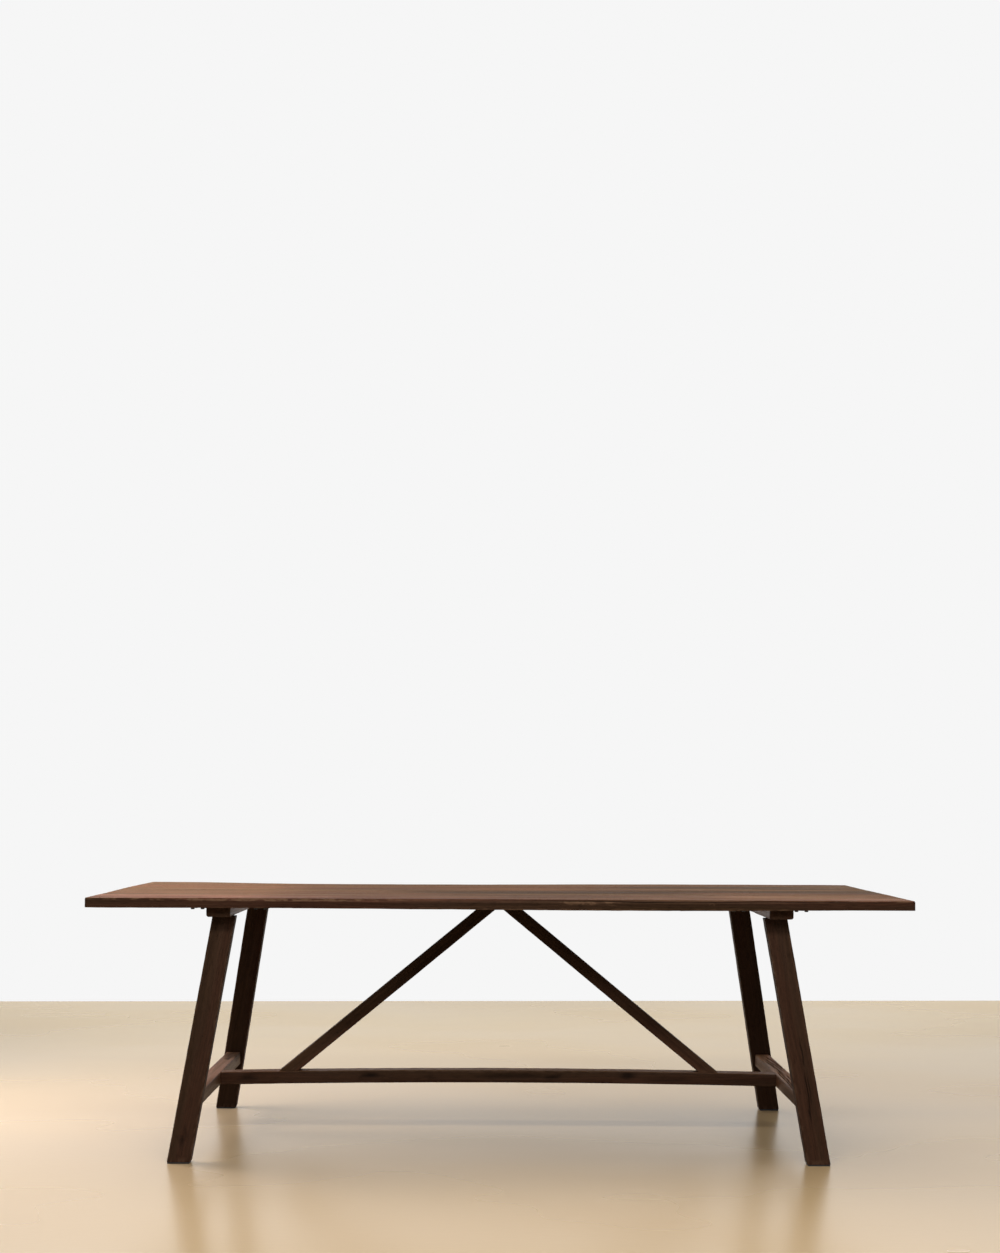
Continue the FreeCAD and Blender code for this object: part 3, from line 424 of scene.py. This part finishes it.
class Timber:
    """One wooden node: its long axis, and its middle line from start to end"""

    def __init__(self, node, axis, start, end, seed, slot, pith=(0.05, 0.09), step=0.016, across=0.009,
                 worn_top=0.0, worn_side=(0, 0), tint=0.1, shift=0.0, soft=0.0):
        self.node, self.axis, self.seed, self.slot = node, axis, seed, slot
        self.start, self.end = np.array(start), np.array(end)
        self.pith, self.step, self.across = pith, step, across
        # Painted light: how far the top is made paler, and the direction and amount of one side made paler and
        # polished
        self.worn_top, self.worn_side = worn_top, worn_side
        # The tone shift raises the tone of a whole piece; on the cleats and braces it is painted light
        self.tint, self.shift, self.soft = tint, shift, soft
        self.cracks, self.knots, self.chips, self.streaks = [], [], [], []

    def others(self):
        return [index for index in range(3) if index != self.axis]

    def place(self, points):
        """Along and across places of points, measured from the slanting middle line"""
        share = (points[:, self.axis] - self.start[self.axis]) / (self.end[self.axis] - self.start[self.axis])
        offset = points - (self.start + share[:, None] * (self.end - self.start))
        first, second = self.others()
        length = np.linalg.norm(self.end - self.start)
        return np.column_stack([share * length, offset[:, first], offset[:, second]])

    def build(self, woods):
        mesh = nodes[self.node].data.copy()
        work = bmesh.new()
        work.from_mesh(mesh)
        bmesh.ops.remove_doubles(work, verts=work.verts, dist=WELD_DISTANCE)
        self.slice(work)
        work.to_mesh(mesh)
        work.free()
        self.shape(mesh)
        piece = bpy.data.objects.new(self.node + "_wood", mesh)
        bpy.context.scene.collection.objects.link(piece)
        mesh.materials.clear()
        mesh.materials.append(woods[self.slot])
        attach(piece, "table")
        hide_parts(self.node)

    def slice(self, work):
        """Cuts every face into small cells, by planes across the grain and along it"""
        points = np.array([vert.co for vert in work.verts])
        local = self.place(points)
        low, high = local.min(axis=0), local.max(axis=0)
        main = unit(self.axis)
        first, last = points[:, self.axis].min(), points[:, self.axis].max()
        count = max(2, round((last - first) / self.step))
        for number in range(1, count):
            self.cut(work, main * (first + (last - first) * number / count), main)
        for gap in END_CUTS if self.soft else ():
            self.cut(work, main * (first + gap), main)
            self.cut(work, main * (last - gap), main)
        for column, other, third in ((1, *self.others()), (2, *reversed(self.others()))):
            normal = Vector(self.end - self.start).cross(unit(third)).normalized()
            size = high[column] - low[column]
            count = max(2, round(size / self.across))
            places = [low[column] + size * number / count for number in range(1, count)]
            places += [low[column] + ARRIS_CUT, high[column] - ARRIS_CUT]
            for crack in self.cracks:
                if crack.column == column:
                    places += [crack.across + share * crack.width for share in CRACK_CUTS]
            for place in places:
                self.cut(work, Vector(self.start) + unit(other) * place, normal)

    def cut(self, work, point, normal):
        bmesh.ops.bisect_plane(work, geom=work.verts[:] + work.edges[:] + work.faces[:], dist=CUT_TOLERANCE,
                               plane_co=point, plane_no=normal)

    def shape(self, mesh):
        """Pushes the surface in where it is rubbed down or marked, and stores what the wood material reads,
        painted light and shade among it
        """
        points, normals = read(mesh.vertices, "co"), read(mesh.vertices, "normal")
        local = self.place(points)
        low, high = local.min(axis=0), local.max(axis=0)
        gaps = np.minimum(local - low, high - local)
        near_end = gaps[:, 0] < END_BAND
        gaps.sort(axis=1)
        skin, arris = gaps[:, 0] < SKIN, gaps[:, 1]

        broad = smooth_noise(local * BROAD_SCALE + self.seed * 5.1, self.seed)
        fine = smooth_noise(local * FINE_SCALE + self.seed, self.seed + 50)
        push = PLANING_DEPTH * (1 + broad)
        push += ARRIS_DEPTH * np.clip(0.5 + fine, 0, 2) * (1 - rise(arris, 0.0, ARRIS_REACH))
        push += self.soft * near_end * (1 - rise(arris, 0.0, SOFT_REACH))
        wear = (1 - rise(arris, *WEAR_REACH)) * skin
        shade = np.zeros(len(points))
        for crack in self.cracks:
            hit, taper = self.crack_hit(crack, local, low, high)
            push += crack.depth * hit * taper
            shade = np.maximum(shade, hit * taper * crack.dark)
        # Dark spots: knots, and a few patches of painted shade
        for knot in self.knots:
            far = np.linalg.norm((points - np.array(knot.place)) / knot.size, axis=1)
            shade = np.maximum(shade, knot.dark * (1 - rise(far, 0.35, 1.0)))
            push += knot.depth * (1 - rise(far, 0.3, 1.0))
        # Pale spots: chips, and a few painted highlights along the front arris
        for chip in self.chips:
            far = np.linalg.norm((points - np.array(chip.place)) / chip.size, axis=1)
            wear = np.maximum(wear, 2 * (1 - rise(far, 0.4, 1.0)))
            push += chip.depth * (1 - rise(far, 0.3, 1.0))
        push = np.where(skin, np.maximum(push, 0), 0)
        # Slivers at the cuts may point outwards, so no point leaves the box of its own node
        points = np.clip(points - normals * push[:, None], points.min(axis=0), points.max(axis=0))
        mesh.vertices.foreach_set("co", points.ravel())

        grain = local + np.array([self.seed * 7.3, *self.pith])
        mesh.attributes.new("grain", "FLOAT_VECTOR", "POINT").data.foreach_set("vector", grain.ravel())
        # Painted light: upward faces, and the one side given, are made paler, and that side is polished too.
        # The tone gets the shift on every face and the streaks on those faces; parts of both are painted light
        polish = self.worn_side[1] * rise(normals[:, 0] * self.worn_side[0], 0.6, 0.95)
        upward = np.maximum(rise(normals[:, 2], 0.5, 0.9), polish > 0)
        stored = {
            "wear": wear, "shade": shade, "polish": polish,
            "lift": self.worn_top * rise(normals[:, 2], 0.45, 0.85) + polish,
            "tone": self.shift + upward * self.tone(points),
            "tint": np.full(len(points), self.tint),
        }
        for name, values in stored.items():
            mesh.attributes.new(name, "FLOAT", "POINT").data.foreach_set("value", values)
        for name in ("custom_normal", "sharp_edge", "sharp_face"):
            if name in mesh.attributes:
                mesh.attributes.remove(mesh.attributes[name])
        mesh.set_sharp_from_angle(angle=math.radians(SHARP_ANGLE))
        mesh.update()

    def crack_hit(self, crack, local, low, high):
        """How much each point lies in a wandering crack, and how far the crack has opened there"""
        other = 3 - crack.column
        face = local[:, other] * crack.face > 0.6 * max(abs(low[other]), abs(high[other]))
        along = (local[:, 0] - crack.start) / (crack.end - crack.start)
        wander = 0.0012 * np.sin(along * 9 + self.seed) + 0.0006 * np.sin(along * 31)
        wander += crack.slant * (along - 0.5)
        taper = np.clip(np.minimum(along, 1 - along) * 6, 0, 1)
        width = crack.width * (0.35 + 0.65 * taper)
        hit = np.exp(-((local[:, crack.column] - crack.across - wander) / width) ** 2)
        return hit * (face & (along > 0) & (along < 1)), taper

    def tone(self, points):
        """The sum of the streaks at each point"""
        total = np.zeros(len(points))
        along, across = points[:, self.axis], points[:, self.others()[0]]
        for streak in self.streaks:
            fade = min(0.3, (streak.end - streak.start) / 3)
            sway = 0.25 * streak.width * np.sin(along * 4.3 + streak.middle * 60)
            hit = np.exp(-((across - streak.middle - sway) / streak.width) ** 2)
            begun = rise(along, streak.start, streak.start + fade)
            total += streak.amount * hit * begun * (1 - rise(along, streak.end - fade, streak.end))
        return total


def mirrored_place(place, side, row=1):
    return side * place[0], row * place[1], place[2]


def straight(node, axis, seed, slot, **settings):
    """A timber whose middle line runs through the middle of its box"""
    low, high = (np.array(corner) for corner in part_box(node))
    start, end = (low + high) / 2, (low + high) / 2
    start[axis], end[axis] = low[axis], high[axis]
    return Timber(node, axis, start, end, seed, slot, **settings)


def timbers():
    """The top, the trestles, the centre stretcher and the braces, each with a seed of its own"""
    made = {}
    planks = (("front_plank", (0.04, 0.11), 0.0), ("inner_front_plank", (-0.05, 0.09), 0.9),
              ("inner_rear_plank", (0.02, -0.10), 1.0), ("rear_plank", (-0.03, 0.12), 0.8))
    # The tops of the planks are painted paler, as painted light
    for seed, (node, pith, tint) in enumerate(planks, 1):
        made[node] = straight(node, X_AXIS, seed, "top_wood", pith=pith, step=0.02, across=0.011,
                              worn_top=1.0, tint=tint, soft=0.0016)
    node = "centre_stretcher"
    # Painted light on the top of the centre stretcher
    made[node] = straight(node, X_AXIS, STRETCHER_SEED, "frame_wood", worn_top=0.6)
    for index, (side, side_name) in enumerate(SIDES):
        # Painted light: the cleats' inner faces are made paler and polished, and the whole cleat is toned paler
        node = "cleat_" + side_name
        made[node] = straight(node, Y_AXIS, CLEAT_SEED + index, "frame_wood", worn_side=(-side, 1.0),
                              shift=0.15)
        # Painted light on the tops and inner faces of the side stretchers, which are polished as well
        node = "side_stretcher_" + side_name
        made[node] = straight(node, Y_AXIS, SIDE_SEED + index, "frame_wood", worn_side=(-side, 0.4),
                              worn_top=1.0)
        # Painted light: the braces are toned paler all over
        node = "brace_" + side_name
        foot, head = mirrored_place(BRACE_FOOT, side), mirrored_place(BRACE_HEAD, side)
        made[node] = Timber(node, Z_AXIS, foot, head, BRACE_SEED + index, "frame_wood", shift=0.15)
    for index, (side, row, corner) in enumerate(CORNERS):
        node = "leg_" + corner
        foot, head = mirrored_place(LEG_FOOT, side, row), mirrored_place(LEG_HEAD, side, row)
        made[node] = Timber(node, Z_AXIS, foot, head, LEG_SEED + index, "frame_wood")
    return made


def strips():
    """The small hardwood pieces under the top"""
    made = []
    for name in nodes:
        if "keeper_strips" in name or name == "brace_dowels":
            axis = Z_AXIS if name == "brace_dowels" else X_AXIS
            made.append(straight(name, axis, STRIP_SEED + len(name), "strip_wood", step=0.02, across=0.01))
    return made


def mark_trestles(made):
    """Knots, cracks and bands of tone on the legs, stretchers and cleats, where the photograph shows them"""
    # Some of the bands and dark spots below are painted light and painted shade
    made["leg_front_right"].cracks += [
        Crack(1, -1, 0.007, 0.28, 0.36, 0.0013, 0.0025),
        Crack(1, -1, 0.003, 0.12, 0.28, 0.0014, 0.003, slant=0.005),
        Crack(1, -1, 0.010, 0.17, 0.26, 0.0011, 0.002),
    ]
    made["leg_front_left"].knots += [
        Knot((-0.9105, -0.481, 0.066), (0.011, 0.02, 0.022), 0.003),
        Knot((-0.902, -0.474, 0.088), (0.006, 0.02, 0.02), 0.002),
    ]
    made["side_stretcher_left"].knots += [
        Knot((-0.889, 0.281, 0.191), (0.015, 0.05, 0.012), 0.002, dark=0.85),
        # The second has no depth and darkens the rear end beside the rear leg: dark mottling of the wood, with
        # painted shade where the stretcher meets the leg
        Knot((-0.880, 0.370, 0.191), (0.05, 0.13, 0.02), 0.0, dark=0.75),
    ]
    grooved = made["side_stretcher_right"]
    grooved.across = 0.0027
    grooves = ((0.004, 0.46, 0.78, -0.020), (0.012, 0.50, 0.84, -0.016), (-0.003, 0.38, 0.72, -0.020),
               (-0.013, 0.10, 0.50, 0.008), (-0.005, 0.12, 0.56, 0.010), (0.005, 0.10, 0.44, 0.010))
    grooved.cracks += [Crack(1, 1, across, start, end, 0.0020, 0.005, slant=slant, dark=1.0)
                       for across, start, end, slant in grooves]
    # Painted light: a paler band over the top and inner face of this stretcher
    grooved.streaks.append(Streak(-0.5, 0.5, 0.89, 0.1, 0.35))
    # Painted shade: a dark patch on the inner face, near the front leg
    grooved.knots.append(Knot((0.8687, -0.30, 0.163), (0.010, 0.24, 0.028), 0.0, dark=0.55))
    # Painted light on the cleats' inner faces, towards the front
    for side, side_name in SIDES:
        made["cleat_" + side_name].streaks.append(Streak(-0.5, -0.1, side * 0.84, 0.2, 0.15))
    # Dark places along the front of the centre stretcher: x, z, half length, half height and darkness
    for x, z, length, height, dark in (
            (-0.402, 0.184, 0.042, 0.012, 0.85), (0.403, 0.187, 0.040, 0.010, 0.95),
            (0.04, 0.184, 0.14, 0.012, 0.5), (0.17, 0.179, 0.04, 0.009, 0.75), (0.53, 0.176, 0.10, 0.009, 0.45),
            (-0.215, 0.178, 0.03, 0.007, 0.7), (-0.78, 0.176, 0.04, 0.012, 0.6)):
        made["centre_stretcher"].knots.append(
            Knot((x, -0.0275, z), (length, 0.012, height), 0.0008, dark=dark))


def mark_top(made):
    """The crack and chipped spots along the front edge, painted highlights on its arris, and the bands of tone
    on the planks, of which the paler left-end bands are painted light
    """
    made["front_plank"].cracks.append(Crack(2, -1, 0.0108, 1.22, 2.34, 0.0013, 0.0015))
    made["front_plank"].chips += [
        Chip((0.328, -0.499, 0.7485), (0.009, 0.02, 0.004), 0.001),
        Chip((0.611, -0.499, 0.7495), (0.008, 0.02, 0.004), 0.001),
        # These two have no depth: painted highlights along the front arris, over its worn wood
        Chip((0.244, -0.499, 0.751), (0.12, 0.02, 0.006), 0.0),
        Chip((-0.75, -0.496, 0.756), (0.6, 0.012, 0.006), 0.0),
    ]
    # The first band of each plank, paler over the left end, is painted light
    streaks = {
        "front_plank": (
            (-1.6, -0.5, -0.36, 0.4, 0.10), (-0.3, 0.4, -0.28, 0.03, -0.07), (-0.1, 0.46, -0.35, 0.06, -0.09),
            (0.5, 1.4, -0.34, 0.12, 0.20), (-0.9, 0.2, -0.47, 0.025, -0.08), (0.45, 0.75, -0.265, 0.02, -0.08),
            (-1.3, -0.6, -0.36, 0.08, 0.08)),
        "inner_front_plank": (
            (-1.6, -0.5, -0.12, 0.4, 0.10), (-0.45, 1.5, -0.04, 0.05, -0.20), (-0.40, 0.7, -0.12, 0.05, -0.21),
            (0.7, 1.4, -0.215, 0.03, 0.10), (-0.8, -0.25, -0.19, 0.04, -0.07), (0.55, 1.1, -0.14, 0.03, 0.05)),
        "inner_rear_plank": (
            (-1.6, -0.5, 0.11, 0.4, 0.10), (0.1, 1.5, 0.03, 0.04, -0.15), (-0.75, -0.1, 0.11, 0.06, -0.10),
            (0.2, 1.25, 0.205, 0.05, -0.15), (-0.15, 0.3, 0.11, 0.04, 0.05), (0.5, 1.2, 0.12, 0.025, 0.03)),
        "rear_plank": (
            (-1.6, -0.5, 0.36, 0.4, 0.10), (0.25, 1.2, 0.275, 0.05, -0.16), (-0.1, 0.3, 0.34, 0.05, 0.03)),
    }
    for node, rows in streaks.items():
        made[node].streaks += [Streak(*row) for row in rows]


def make_woods():
    return {
        # How many times paler the tops and lit sides are painted, as painted light
        "top_wood": wood("top_wood", dark=rgb(37, 25, 16), middle=rgb(65, 44, 31), light=rgb(92, 65, 47),
                         warm=(1.13, 0.95, 0.94), olive=(0.95, 1.02, 0.86), worn=rgb(112, 84, 62),
                         roughness=0.68, gloss=0.06, lift=2.15),
        "frame_wood": wood("frame_wood", dark=rgb(44, 28, 17), middle=rgb(61, 40, 26), light=rgb(76, 51, 35),
                           warm=(1.08, 0.97, 0.96), olive=(0.96, 1.0, 0.92), worn=rgb(98, 72, 54),
                           roughness=0.60, gloss=0.12, lift=4.4),
        "strip_wood": wood("strip_wood", dark=rgb(92, 68, 48), middle=rgb(128, 98, 70), light=rgb(156, 124, 92),
                           warm=(1.05, 1, 0.97), olive=(0.97, 1, 0.95), worn=rgb(150, 120, 92),
                           roughness=0.55, gloss=0.3),
    }


def set_materials():
    """Gives the carried-over CAD nodes their materials, by words in their names"""
    black = plain("black_steel", rgb(34, 33, 32), rgb(44, 43, 42), 0.42, 900, 0.0002, scratch=0.35, coat=0.1)
    zinc = plain("zinc_steel", rgb(128, 126, 121), rgb(148, 145, 139), 0.45, 1200, 0.0001, 1.0, scratch=0.2)
    brass = plain("brass", rgb(170, 138, 78), rgb(196, 162, 98), 0.30, 1200, 0.0001, 1.0, scratch=0.2)
    rubber = plain("black_rubber", rgb(28, 28, 28), rgb(38, 38, 37), 0.75, 1500, 0.0002)
    plastic = plain("black_plastic", rgb(26, 25, 25), rgb(34, 33, 33), 0.55, 1500, 0.0001)
    groups = (
        (black, ("leaf_arm", "keeper_plate", "keeper_bolts")),
        (zinc, ("arm_stop_pin", "nails", "_screws", "stretcher_bolts", "barrel_nuts")),
        (brass, ("leaf_sockets",)), (rubber, ("arm_buffer",)), (plastic, ("foot_glide",)),
    )
    for name, item in nodes.items():
        for material, words in groups:
            if any(word in name for word in words):
                for slot in item.material_slots:
                    slot.material = material
                break


# Surroundings

def area_light(name, place, target, size, watts, colour=(1, 1, 1), mirrored=True):
    data = bpy.data.lights.new(name, "AREA")
    data.shape = "RECTANGLE"
    data.size, data.size_y = size
    data.energy = watts
    data.color = colour
    item = bpy.data.objects.new(name, data)
    bpy.context.scene.collection.objects.link(item)
    item.location = place
    item.visible_camera = False
    item.visible_glossy = mirrored
    item.rotation_euler = (Vector(target) - Vector(place)).to_track_quat("-Z", "Y").to_euler()


def surroundings():
    world = Graph(bpy.data.worlds.new("studio"))
    bpy.context.scene.world = world.owner
    world.set("Color", WORLD_LIGHT)
    world.cover(world.seen(), "ShaderNodeBackground", rgb(*BACKGROUND))

    mesh = bpy.data.meshes.new("floor")
    mesh.from_pydata(FLOOR_CORNERS, [], [(0, 1, 2, 3)])
    floor = bpy.data.objects.new("floor", mesh)
    mesh.materials.append(floor_material())
    bpy.context.scene.collection.objects.link(floor)

    area_light("above", (0.5, 0.6, 3.4), (0.2, 0.2, 0.6), (5.5, 3.4), 80)
    area_light("left", (-2.05, 0.25, 1.55), (-1.0, 0, 0.7), (1.0, 1.8), 42, colour=(0.91, 0.94, 1.16),
               mirrored=False)
    area_light("key", (0.0, -2.9, 2.9), (0, -0.42, 0.66), (3.4, 0.35), 58)
    area_light("low", (0.0, -3.2, 2.2), (0, 0, 0.4), (2.4, 0.4), 18)
    for side, side_name in SIDES:
        area_light("rear_" + side_name, (side * 2.5, 4.3, 2.2), (side * 2.5, 4.0, 0), (2.6, 1.0), 24)


make_camera()
surroundings()
woods = make_woods()
made = timbers()
mark_trestles(made)
mark_top(made)
for timber in list(made.values()) + strips():
    timber.build(woods)
set_materials()

bpy.context.scene.view_settings.view_transform = "Standard"
